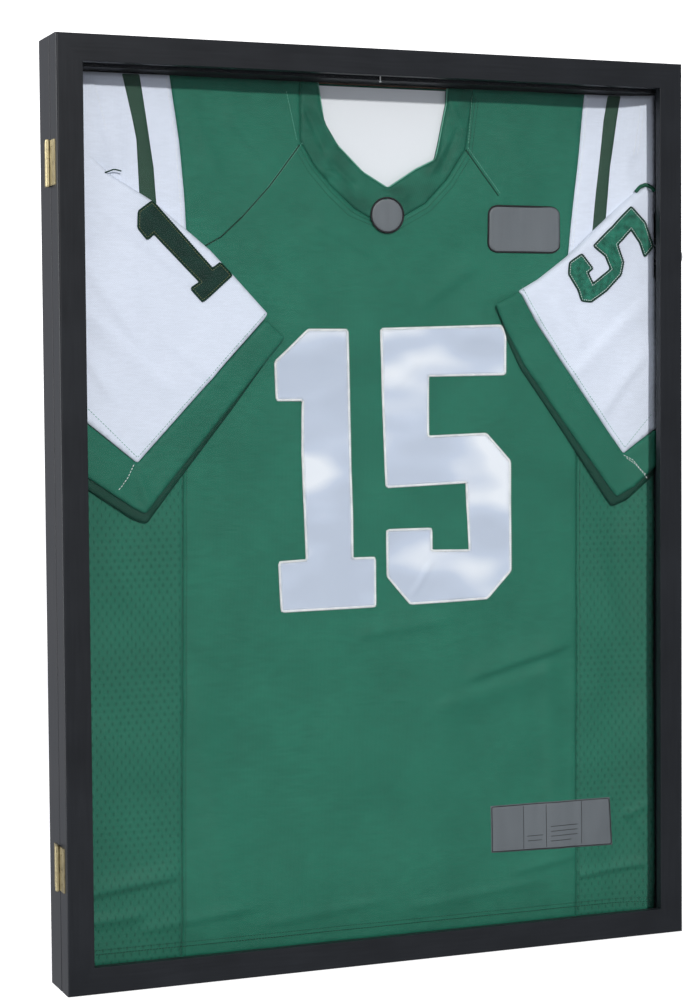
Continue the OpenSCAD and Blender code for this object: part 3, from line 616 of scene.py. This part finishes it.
GREEN = (0.019, 0.155, 0.101)
WHITE = (0.76, 0.81, 0.93)
M = {
    "green": knit("green_knit", GREEN),
    "cuff": knit("cuff_knit", tint(GREEN, 0.95), pitch=1.6, angle=42),
    "mesh": holed_knit("green_mesh_knit", tint(GREEN, 0.93)),
    # collar rib: body green darkened to 0.78 with strong broad mottling; the rib's own tone plus painted
    # shade of its folds
    "collar": knit("collar_rib", tint(GREEN, 0.78), pitch=2.2, angle=20, bump=0.5, mottle=0.28,
                   broad=26),
    # cuffs' back layers: body green darkened to 0.35, painted shade for the cuffs' cast shadow and the
    # sleeves' shaded inside
    "inner": knit("cuff_inside_painted_shade", tint(GREEN, 0.35), angle=42),
    "white": knit("white_knit", WHITE, mottle=0.03, sheen=0.1, bump=0.25),
    "sleeve_l": knit("white_sleeve_knit_left", WHITE, mottle=0.03, sheen=0.1, angle=48),
    "sleeve_r": knit("white_sleeve_knit_right", WHITE, mottle=0.03, sheen=0.1, angle=-40),
    "stripe": knit("stripe_knit", (0.030, 0.075, 0.050), pitch=1.2),
    # the second colour is the painted highlight of the number's bands
    "silver": satin("silver_twill", (0.52, 0.58, 0.70), (0.86, 0.89, 0.95)),
    "twill_dark": knit("dark_green_twill", (0.004, 0.030, 0.021), mottle=0.25, broad=12, sheen=0.03),
    "twill_green": knit("green_twill", (0.017, 0.150, 0.098), mottle=0.45, broad=5, bump=0.5),
    "white_thread": thread("white_thread", (0.92, 0.94, 0.97)),
    "silver_thread": thread("silver_thread", (0.70, 0.74, 0.82)),
    "cuff_thread": thread("cuff_edge", (0.012, 0.105, 0.06)),
    "green_thread": thread("green_thread", (0.030, 0.150, 0.095)),
    "light_thread": thread("light_green_thread", (0.16, 0.42, 0.32)),
    "dark_thread": thread("dark_thread", (0.008, 0.045, 0.028)),
    "olive_thread": thread("olive_thread", (0.20, 0.22, 0.10)),
    "tag": twill("tag_cloth", (0.125, 0.140, 0.155), angle=0, band=8, painted_band_strength=0.06),
    "tag_dark": thread("tag_frame", (0.02, 0.02, 0.022)),
    "wood_x": black_paint("black_paint_across", (0.04, 1, 1)),
    "wood_z": black_paint("black_paint_upright", (1, 1, 0.04)),
    "brass": metal("brass", (0.37, 0.32, 0.19), 0.46),
    "steel": metal("steel", (0.60, 0.60, 0.62), 0.30),
    "nail": metal("bright_nail", (0.95, 0.95, 0.96), 0.45),
    "hardboard": fibre("hardboard", (0.17, 0.105, 0.065), 1.6, 0.7),
    "pale_wood": fibre("pale_wood", (0.52, 0.36, 0.21), 3, 0.6, 0.25, 0.4, (1, 1, 0.1)),
    "board": fibre("white_board", (0.80, 0.82, 0.86), 0.9, 0.65, 0.03, 0.25),
    "felt": fibre("felt", (0.03, 0.03, 0.034), 0.7, 0.9, 0.4, 0.8),
    "clear": clear("clear_acrylic"),
}


# ---------- CAD pieces ----------

def cad_material(name):
    if name in ("door_rail_top", "door_rail_bottom", "case_rail_top", "case_rail_bottom",
                "panel_strip_top", "panel_strip_bottom"):
        return M["wood_x"]
    if name.startswith(("door_stile", "case_rail", "panel_strip")):
        return M["wood_z"]
    if name.startswith("hinge"):
        return M["brass"]
    table = {"clear_panel": "clear", "back_panel": "hardboard", "shirt_board": "board",
             "door_bumpers": "felt", "panel_nails": "nail", "case_dowels": "pale_wood", "door_corner_splines": "pale_wood"}
    return M[table.get(name, "steel")]


for node_name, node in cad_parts.items():
    if not node.material_slots:
        node.data.materials.append(None)
    for s in node.material_slots:
        s.material = cad_material(node_name)


# ---------- jersey ----------

# Ridges of the loose cloth: start, end, width, height and lean
BODY_FOLDS = [
    ((-308, 82), (-200, 96), 7, 4.6, 0.5), ((-308, 58), (-236, 62), 5, 3.4, -0.4),
    ((-250, 44), (-120, 58), 5, 1.8, 0.3), ((-130, 38), (20, 52), 5, 1.3, 0.3),
    ((30, 42), (190, 58), 5, 1.5, -0.3), ((222, 56), (306, 66), 4, 3.4, 0.5),
    ((276, 116), (308, 132), 4, 2.4, -0.4), ((262, 150), (306, 92), 5, 1.8, 0.4), ((150, 66),
            (232, 80), 5, 1.6, 0.4),
    ((100, 268), (224, 300), 8, 4.2, 0.6), ((60, 240), (214, 278), 12, 3.0, -0.4),
    ((-20, 318), (90, 330), 8, 1.8, 0.4), ((-190, 300), (-150, 30), 16, 2.6, 0.4),
    ((190, 320), (205, 40), 12, 1.6, 0.2), ((-120, 705), (-50, 640), 9, 1.8, 0.3),
    ((120, 690), (50, 640), 9, 1.5, -0.3), ((-150, 830), (-95, 770), 8, 1.8, 0.4),
    ((-190, 840), (-150, 760), 10, 1.4, -0.3), ((140, 820), (190, 760), 9, 1.5, 0.3),
    ((-60, 725), (10, 690), 7, 1.5, 0.5), ((-262, 855), (-250, 735), 6, 1.1, 0.0),
    ((290, 850), (284, 770), 5, 1.1, 0.0), ((-290, 420), (-215, 330), 12, 1.4, 0.3),
    ((-285, 250), (-215, 190), 12, 1.4, -0.3), ((250, 400), (290, 250), 10, 1.4, 0.2),
]


def body_lift(pts):
    """Soft shape of the jersey's body over the board."""
    x, z = pts[:, 0], pts[:, 1]
    out = rumple(pts, 3.1, ((140, 2.4), (60, 1.5), (24, 0.35)))
    for a, b, width, height, lean in BODY_FOLDS:
        out += fold(pts, a, b, width, height, lean)
    out += 0.8 * np.clip((z - 20) / 40, 0, 1) - 0.8
    out -= 2.0 * np.clip((-x - 296) / 14.5, 0, 1) ** 2
    out += 12.0 * np.clip((x - 262) / 50, 0, 1) ** 2
    out += fold(pts, (-284, 852), (-275, 815), 4, 1.6, 0.3) + fold(pts, (-286, 824), (-270, 788), 4, 1.6)
    out += fold(pts, (301, 852), (292, 795), 5, 1.2) + fold(pts, (292, 800), (298, 768), 4, -1.2)
    out += 7.2 * np.exp(-(distance(pts, [(-335, 822), (-284, 781)]) / 20) ** 2)
    return out


def body_level(pts):
    return BODY_Y - body_lift(np.asarray(pts, float))


def sleeve_lift_left(pts):
    out = rumple(pts, 9.7, ((90, 1.8), (38, 1.0), (14, 0.15)))
    for a, b, width, height, lean in (
            ((-285, 740), (-150, 640), 9, 1.6, 0.4), ((-305, 650), (-205, 560), 8, 2.2, -0.5),
            ((-305, 700), (-235, 600), 7, 1.6, 0.3), ((-215, 610), (-150, 560), 6, 1.4, 0.3),
            ((-306, 620), (-262, 545), 6, 1.8, 0.4), ((-300, 760), (-290, 690), 6, 1.6, 0.3),
            ((-244, 486), (-230, 446), 4, 2.2, 0.4), ((-258, 480), (-240, 452), 3, -1.5, 0.0)):
        out += fold(pts, a, b, width, height, lean)
    return out


def sleeve_lift_right(pts):
    out = rumple(pts, 15.3, ((90, 1.8), (38, 1.0), (14, 0.15)))
    for a, b, width, height, lean in (
            ((305, 655), (215, 570), 8, 1.9, 0.4), ((305, 600), (250, 530), 7, 1.7, -0.4),
            ((196, 655), (232, 600), 6, 1.6, 0.3), ((250, 655), (300, 620), 6, 1.4, 0.4),
            ((170, 640), (200, 625), 4, 1.2, 0.0), ((255, 740), (285, 700), 6, 1.2, 0.0)):
        out += fold(pts, a, b, width, height, lean)
    out += 8.5 * np.clip((pts[:, 0] - 262) / 50, 0, 1) ** 2
    return out


def left_level(pts):
    return SLEEVE_Y - sleeve_lift_left(np.asarray(pts, float))


def right_level(pts):
    return SLEEVE_Y - sleeve_lift_right(np.asarray(pts, float))


made = []


def dress(obj, replaced=()):
    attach(obj, "case")
    if replaced:
        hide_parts(*replaced)
    made.append(obj)
    return obj


def cloth(name, outline, y, thick, mat, slot_name, replaced, held="stretched", on=("shirt_board",),
          **how):
    """A cloth piece: cloth_slab's mesh, attached to the case, with the CAD parts it replaces hidden."""
    obj = dress(cloth_slab(name, outline, y, thick, M[mat], **how), replaced)
    return obj


def stitch_piece(name, paths, mat, sides=6):
    return dress(tubes(name, paths, M[mat], sides))


fine = 3.6
cloth("jersey_body", TORSO, BODY_Y, BODY_T, "green", "green_cloth", ["shirt_torso"],
      pitch=fine, seam=1.0, height=body_lift, bend=1.5)
cloth("jersey_side_left", SIDE_LEFT, BODY_Y, BODY_T, "mesh", "green_mesh", ["shirt_side_left"],
      pitch=fine, seam=1.0, free=[[(-310.5, 0), (-310.5, 570)]], free_r=4, height=body_lift, bend=1.0)
cloth("jersey_side_right", SIDE_RIGHT, BODY_Y, BODY_T, "mesh", "green_mesh", ["shirt_side_right"],
      pitch=fine, seam=1.0, free=[[(312.3, 0), (312.3, 570)]], free_r=1.5, height=body_lift, bend=1.0)
cloth("jersey_shoulder_left", SHOULDER_LEFT, BODY_Y, BODY_T, "white", "white_cloth",
      ["shirt_shoulder_left"], pitch=fine, seam=1.0, free=[[(-310.5, 600), (-310.5, 870)]], free_r=4,
      height=body_lift, bend=1.0)
cloth("jersey_shoulder_right", SHOULDER_RIGHT, BODY_Y, BODY_T, "white", "white_cloth",
      ["shirt_shoulder_right"], pitch=fine, seam=1.0, free=[[(312.6, 600), (312.6, 870)]], free_r=1.5,
      height=body_lift, bend=1.0)


def collar_lift(pts):
    out = body_lift(pts) + 0.5 + rumple(pts, 21.0, ((26, 0.6), (11, 0.3)))
    for a, b, h in (((-68, 838), (-44, 790), -2.8), ((-58, 842), (-36, 796), 2.4),
                    ((-44, 786), (-12, 758), -2.6), ((-56, 776), (-30, 768), 2.0),
                    ((62, 770), (88, 812), 2.0), ((76, 774), (100, 826), -2.4),
                    ((10, 748), (44, 752), 1.6), ((86, 850), (104, 812), 2.0)):
        out += fold(pts, a, b, 3.4, h)
    return out


cloth("jersey_collar", COLLAR + NECK[::-1], BODY_Y, BODY_T, "collar", "green_cloth",
      ["shirt_collar"], pitch=2.6, seam=1.2, free=[NECK], free_r=2.6, height=collar_lift, bend=3)
for name, line in (("jersey_stripe_left", STRIPE_LEFT), ("jersey_stripe_right", STRIPE_RIGHT)):
    cloth(name, line, BODY_Y - 0.45, 0.9, "stripe", "green_cloth", [], on=["jersey_shoulder_left"],
          held="laid", pitch=2.5, seam=0.4, height=body_lift, bend=2)

upper_left = [(-268, 767), (-220, 739), (-167, 696), (-108, 635)]
upper_right = [(314, 761), (302, 768), (291, 761), (216, 695), (184, 672), (160, 659)]
cloth("jersey_sleeve_left", SLEEVE_LEFT, SLEEVE_Y, SLEEVE_T, "sleeve_l", "white_cloth",
      ["shirt_sleeve_left"], held="folded", on=["jersey_body"], pitch=fine, seam=0.4,
      free=[upper_left], free_r=4.5, height=sleeve_lift_left, bend=2)
cloth("jersey_cuff_left", CUFF_LEFT, SLEEVE_Y, 3.4, "cuff", "green_cloth", ["shirt_cuff_left"],
      held="folded", on=["jersey_body"], pitch=3, seam=1.0,
      free=[[(-92, 612), (-235, 445), (-246, 451), (-312, 494)]], free_r=2.2,
      height=sleeve_lift_left, bend=4)
cloth("jersey_sleeve_right", SLEEVE_RIGHT, SLEEVE_Y, SLEEVE_T, "sleeve_r", "white_cloth",
      ["shirt_sleeve_right"], held="folded", on=["jersey_body"], pitch=fine, seam=1.0,
      free=[upper_right], free_r=4.5, height=sleeve_lift_right, bend=2)
cloth("jersey_cuff_right", CUFF_RIGHT, SLEEVE_Y, 3.4, "cuff", "green_cloth",
      ["shirt_cuff_right"], held="folded", on=["jersey_body"], pitch=3, seam=1.0,
      free=[[(134, 646), (144, 625), (166, 585), (215, 521), (271, 449), (290, 459), (312, 480)]],
      free_r=2.2, height=sleeve_lift_right, bend=4)

# The cuffs' back layers show below and beside their front layers; their green is darkened to a third as
# painted shade, standing for the shadow the cuffs cast on the body and the shaded inside of the sleeves
for name, line, lift in (("jersey_cuff_left_inner", INNER_LEFT, sleeve_lift_left),
                         ("jersey_cuff_right_inner", INNER_RIGHT, sleeve_lift_right)):
    cloth(name, line, SLEEVE_Y + 3.6, SLEEVE_T - 3.7, "inner", "green_cloth", [], held="folded",
          on=["jersey_body"], pitch=3, seam=0.8, height=lambda p, lift=lift: 0.8 * lift(p), bend=4)

# The part of the body that lies behind the board, and the cloth turned round the board's edges
cloth("jersey_back", [(-203.5, 15), (226, 15), (238.5, 860.5), (-203.5, 860.5)], BEHIND_Y, 1.0,
      "green", "green_cloth", [], pitch=8, seam=0.3,
      height=lambda p: rumple(p, 5.0, ((80, 0.12),)), bend=2)


def turned(name, profile, low, high, mat, upright=True, thick=0.9, step=12.0):
    """Cloth turned round a board edge: a profile in plan, or in side view, run along the edge."""
    n_along = max(2, int((high - low) / step))
    prof = along(profile, 1.5)
    d = np.gradient(prof, axis=0)
    d /= np.maximum(np.hypot(*d.T), 1e-6)[:, None]
    inner = prof + thick * np.stack([-d[:, 1], d[:, 0]], 1)
    ring = np.concatenate([prof, inner[::-1]])
    m = len(ring)
    verts, faces = [], []
    for k in range(n_along + 1):
        s = low + (high - low) * k / n_along
        for i, (a, b) in enumerate(ring):
            w = 0.25 * noise.noise((s / 22, i / 9, 4.0))
            verts.append(at(a + w * 0.5, b, s) if upright else at(s, a, b + w * 0.5))
    for k in range(n_along):
        for i in range(m):
            j = (i + 1) % m
            faces.append([k * m + i, k * m + j, (k + 1) * m + j, (k + 1) * m + i])
    faces.append([i for i in reversed(range(m))])
    faces.append([n_along * m + i for i in range(m)])
    obj = dress(mesh_object(name, verts, faces, M[mat]))
    return obj


def wrap_profile(s):
    return [(s * 309.2, 48.5), (s * 309.9, 50), (s * 309.9, 55.2), (s * 309.0, 56.3),
            (s * 307, 56.5), (s * 252, 56.5)]


turned("jersey_side_turn_left", wrap_profile(-1), 15, 559, "mesh")
turned("jersey_side_turn_right", wrap_profile(1)[::-1], 15, 559, "mesh")
over_top = [(48.5, 859.3), (50, 860.0), (55.2, 860.0), (56.3, 859.0), (56.5, 857), (56.5, 840)]
turned("jersey_top_turn_left", over_top, -203, -73, "green", upright=False)
turned("jersey_top_turn_right", over_top, 114, 238, "green", upright=False)

# Numbers, patches and tag
def on_body(extra):
    return lambda p: body_lift(p) + extra


def number_lift(pts):
    """The stiff numbers buckle softly where the cloth under them is folded."""
    out = body_lift(pts)
    for a, b, width, height in (((-80, 550), (-22, 566), 9, 0.9), ((-74, 447), (-22, 446), 8, 0.8),
                                ((-96, 598), (-30, 594), 8, 0.7), ((24, 560), (52, 592), 9, 0.9),
                                ((100, 616), (145, 610), 8, 0.8), ((14, 528), (60, 528), 8, 0.8),
                                ((104, 436), (152, 434), 9, 0.9), ((40, 352), (66, 392), 3.5, 1.1)):
        out += fold(pts, a, b, width, height)
    return out


def number_level(pts):
    return BODY_Y - number_lift(np.asarray(pts, float))


def number(name, outline, mat, slot_name, nodes, lift, level, edge_mat, inner_mat, on, edge=1.5,
           inner=4.0):
    y = BODY_Y if lift is number_lift else SLEEVE_Y
    obj = cloth(name, outline, y - NUMBER_T, NUMBER_T + 0.2, mat, slot_name, nodes, held="laid",
                on=on, pitch=2.6, seam=0.25, height=lift, bend=1.2)

    def top(p):
        return level(p) - NUMBER_T
    loop = rounded(ccw(outline), 1.5)
    stitch_piece(name + "_edge", welt(loop + loop[:1], top, 0.75 * edge, 0.2, 3)
                 + zigzag(loop, lambda p: top(p) - 0.6 * edge, 0.8 * edge, 1.2, 0.3), edge_mat)
    if inner:
        loop = inset(outline, inner)
        stitch_piece(name + "_line", stitches(loop + loop[:1], top, 2.6, 1.9, 0.28), inner_mat,
                     5)
    return obj


number("number_one", ONE, "silver", "silver_twill", ["shirt_front_numbers"], number_lift,
       number_level, "white_thread", "silver_thread", ["jersey_body"], 1.7, 4.5)
number("number_five", FIVE, "silver", "silver_twill", [], number_lift, number_level, "white_thread",
       "silver_thread", ["jersey_body"], 1.7, 4.5)
number("sleeve_number_one", SLEEVE_ONE, "twill_dark", "green_twill", ["shirt_sleeve_numbers"],
       sleeve_lift_left, left_level, "dark_thread", "olive_thread", ["jersey_sleeve_left"], 1.0, 3.0)
number("sleeve_number_five", SLEEVE_FIVE, "twill_green", "green_twill", [], sleeve_lift_right,
       right_level, "dark_thread", "white_thread", ["jersey_sleeve_right"], 1.0, 3.0)

cloth("collar_badge", COLLAR_ROUND, BODY_Y - NUMBER_T, 0.9, "tag", "patch_cloth", ["collar_patch"],
      held="laid", on=["jersey_body"], pitch=2, seam=0.3, height=on_body(1.6), bend=1.5)
stitch_piece("collar_badge_edge",
             welt(COLLAR_ROUND + COLLAR_ROUND[:1],
                  lambda p: body_level(p) - 1.6 - NUMBER_T, 1.0, 0.1, 3),
             "tag_dark", 8)

cloth("chest_badge", CHEST_PLAIN, BODY_Y - NUMBER_T, 0.9, "tag", "patch_cloth", ["chest_patch"],
      held="laid", on=["jersey_body"], pitch=2.4, seam=0.3, height=on_body(0.1), bend=0)
stitch_piece("chest_badge_edge",
             welt(CHEST_PLAIN + CHEST_PLAIN[:1], lambda p: body_level(p) - NUMBER_T, 1.0, 0.1, 3),
             "tag_dark", 8)


def tag_level(p):
    return body_level(p) - NUMBER_T - 0.1


cloth("hem_tag_patch", TAG, BODY_Y - NUMBER_T, 0.8, "tag", "patch_cloth", ["hem_tag"], held="laid",
      on=["jersey_body"], pitch=2.4, seam=0.25, height=on_body(0.1), bend=1)
frame_line = inset(TAG, 2.2)
lines = welt(frame_line + frame_line[:1], tag_level, 0.45, 0.1, 3)
for x in (165, 191, 232):
    lines += welt([(x, 91.5), (x, 135)], tag_level, 0.35, 0.1, 3)
for x0, x1, z in ((169, 187, 104), (170, 186, 99), (196, 227, 112), (196, 227, 107), (196, 227, 102),
                  (196, 220, 97)):
    lines += welt([(x0, z), (x1, z)], tag_level, 0.35, 0.1, 3)
stitch_piece("hem_tag_lines", lines, "tag_dark", 5)

# Seams and stitch lines
seam_l = [(-193, 558), (-201, 15)]
seam_r = [(229.2, 558), (226.2, 15)]


def shifted(line, dx, dz=0.0):
    return [(x + dx, z + dz) for x, z in line]


stitch_piece("side_seam_threads",
             stitches(shifted(seam_l, 3), body_level, 2.8, 1.6, 0.3)
             + stitches(shifted(seam_r, 3), body_level, 2.8, 1.6, 0.3), "dark_thread", 5)
stitch_piece("hem_threads",
             stitches([(-308, 30), (308, 30)], body_level, 3.0, 2.2, 0.3)
             + stitches([(-308, 26), (308, 26)], body_level, 3.0, 2.2, 0.45), "dark_thread",
             5)
collar_line = [(x - 3 if x < 17 else x + 3, z - 3.5) for x, z in COLLAR[1:-1]]
collar_line2 = [(x - 6 if x < 17 else x + 6, z - 7) for x, z in COLLAR[1:-1]]
for x0, z0, x1, z1 in ((-86, 850, -76, 804), (112, 853, 108, 807)):
    stitch_piece("collar_side_threads_" + ("left" if x0 < 0 else "right"),
                 stitches([(x0, z0), (x1, z1)], body_level, 3.0, 1.9, 0.34), "light_thread",
                 5)
stitch_piece("collar_threads",
             stitches(collar_line, body_level, 2.8, 1.9, 0.3)
             + stitches(collar_line2, body_level, 2.8, 1.9, 0.3), "dark_thread", 5)


def neck_level(p):
    return BODY_Y + 1.6 - body_lift(np.asarray(p, float))


stitch_piece("collar_piping", welt(NECK, neck_level, 0.7, 0.0, 3), "light_thread")
# a dark cord along the raglan seam stands in for the shade in the seam's groove (painted shade)
stitch_piece("raglan_groove_painted_shade",
             welt(RAGLAN_LEFT, body_level, 1.1, 0.5, 4) + welt(RAGLAN_RIGHT, body_level, 0.9, 0.4, 4),
             "dark_thread")
stitch_piece("raglan_threads",
             stitches(shifted(RAGLAN_LEFT, -2.6, -2), body_level, 2.6, 1.9, 0.36)
             + stitches(shifted(RAGLAN_LEFT, 2.8, 2), body_level, 2.6, 1.9, 0.36)
             + stitches(shifted(RAGLAN_RIGHT, 2.4, 2), body_level, 2.6, 1.9, 0.34), "light_thread",
             5)
stitch_piece("shoulder_threads",
             stitches([(-193, 715), (-199, 800), (-208, 858)], body_level, 3.0, 2.0, 0.3)
             + stitches([(224, 700), (236, 802), (243, 858)], body_level, 3.0, 2.0, 0.3)
             + stitches([(299, 852), (291, 800)], body_level, 3.0, 2.0, 0.3)
             + stitches([(303, 852), (295, 800)], body_level, 3.0, 2.0, 0.3)
             + stitches([(-278, 849), (-267, 806)], body_level, 3.2, 2.0, 0.3),
             "white_thread", 5)

stitch_piece("shoulder_fold_right",
             welt([(292, 762), (297, 767.5), (303, 769.5), (309, 766.5), (312, 763)],
                  lambda p: right_level(p) + 1.2, 2.0, 1.0, 2), "cuff_thread", 8)
# a dark cord along the sleeve's slit stands in for the shade in the gap (painted shade)
stitch_piece("sleeve_slit_painted_shade", welt([(-271, 766), (-262, 769.5), (-255, 768)],
                                 lambda p: left_level(p) - 0.2, 0.7, 0.2, 3), "dark_thread")
stitch_piece("cuff_seam_threads",
             stitches([(-113, 635), (-242, 499), (-308, 563)], left_level, 3.2, 2.2, 0.32)
             + stitches([(163, 664), (181, 634), (213, 588), (279, 500), (308, 535)], right_level, 3.2,
                        2.2, 0.32), "light_thread", 5)
stitch_piece("cuff_hem_threads",
             stitches([(-246, 492), (-249, 486), (-252, 480), (-257, 473), (-262, 468)], left_level,
                      3.2, 2.2, 0.4)
             + stitches([(278, 492), (288, 487), (295, 478), (302, 471)], right_level, 3.2, 2.2, 0.4)
             + stitches([(281, 489), (290, 483), (297, 475), (303, 467)], right_level, 3.2, 2.2, 0.4),
             "white_thread", 5)


# ---------- stage, light and camera ----------

def plain_stage(name, color, glow):
    p = Paint(name, color, 0.9, spec=0.1)
    p.set("Emission Color", (1, 1, 1, 1))
    p.set("Emission Strength", glow)
    return p.mat


floor_z = corner.z
sweep = [(-12.0, 0.0), (0.0, 0.0), (8.0, 0.0)]
for k in range(1, 13):
    a = math.radians(90 * k / 12)
    sweep.append((8.0 + 2.0 * math.sin(a), 2.0 * (1 - math.cos(a))))
sweep.append((10.0, 14.0))
verts, faces = [], []
for i, (y, z) in enumerate(sweep):
    verts += [(-18, y, floor_z + z), (18, y, floor_z + z)]
    if i:
        faces.append([2 * i - 2, 2 * i - 1, 2 * i + 1, 2 * i])
floor = mesh_object("floor", verts, faces, plain_stage("pale_floor", (0.8, 0.8, 0.8), 0.62))
floor.visible_diffuse = False
floor.visible_glossy = False

world = bpy.data.worlds.new("studio")
bpy.context.scene.world = world
world.use_nodes = True
world.node_tree.nodes["Background"].inputs[0].default_value = (0.93, 0.94, 1.0, 1)
world.node_tree.nodes["Background"].inputs[1].default_value = 0.50


def aim(obj, target):
    obj.rotation_euler = (Vector(target) - obj.location).to_track_quat("-Z", "Y").to_euler()


key = link(bpy.data.objects.new("key", bpy.data.lights.new("key", "SUN")))
key.data.energy = 2.1
key.data.angle = math.radians(2.6)
key.data.color = (1.0, 0.985, 0.96)
elev, azim = math.radians(20), math.radians(8)
key.location = Vector((-math.sin(azim) * math.cos(elev), -math.cos(azim) * math.cos(elev),
                       math.sin(elev))) * 4
aim(key, (0, 0, 0))

card = link(bpy.data.objects.new("side_card", bpy.data.lights.new("side_card", "AREA")))
card.data.shape = "RECTANGLE"
card.data.size, card.data.size_y = 2.4, 2.6
card.data.energy = 120
card.location = (-3.0, 0.4, 0.1)
aim(card, (-0.33, 0, -0.4))

cam = link(bpy.data.objects.new("camera", bpy.data.cameras.new("camera")))
cam.data.sensor_fit = "VERTICAL"
cam.data.sensor_height = 24
cam.data.lens = 2.2907 * 24
cam.data.clip_end = 50
yaw, pitch, roll = (math.radians(a) for a in (21.789, -2.741, -0.448))
forward = Vector((math.sin(yaw) * math.cos(pitch), math.cos(yaw) * math.cos(pitch), math.sin(pitch)))
right = Vector((math.cos(yaw), -math.sin(yaw), 0))
up = right.cross(forward)
r2 = math.cos(roll) * right + math.sin(roll) * up
u2 = -math.sin(roll) * right + math.cos(roll) * up
turn = Matrix((r2, u2, -forward)).transposed()
cam.matrix_world = Matrix.Translation(at(-865.6, -2046.3, 561.0)) @ turn.to_4x4()
bpy.context.scene.camera = cam
bpy.context.scene.view_settings.view_transform = "Standard"
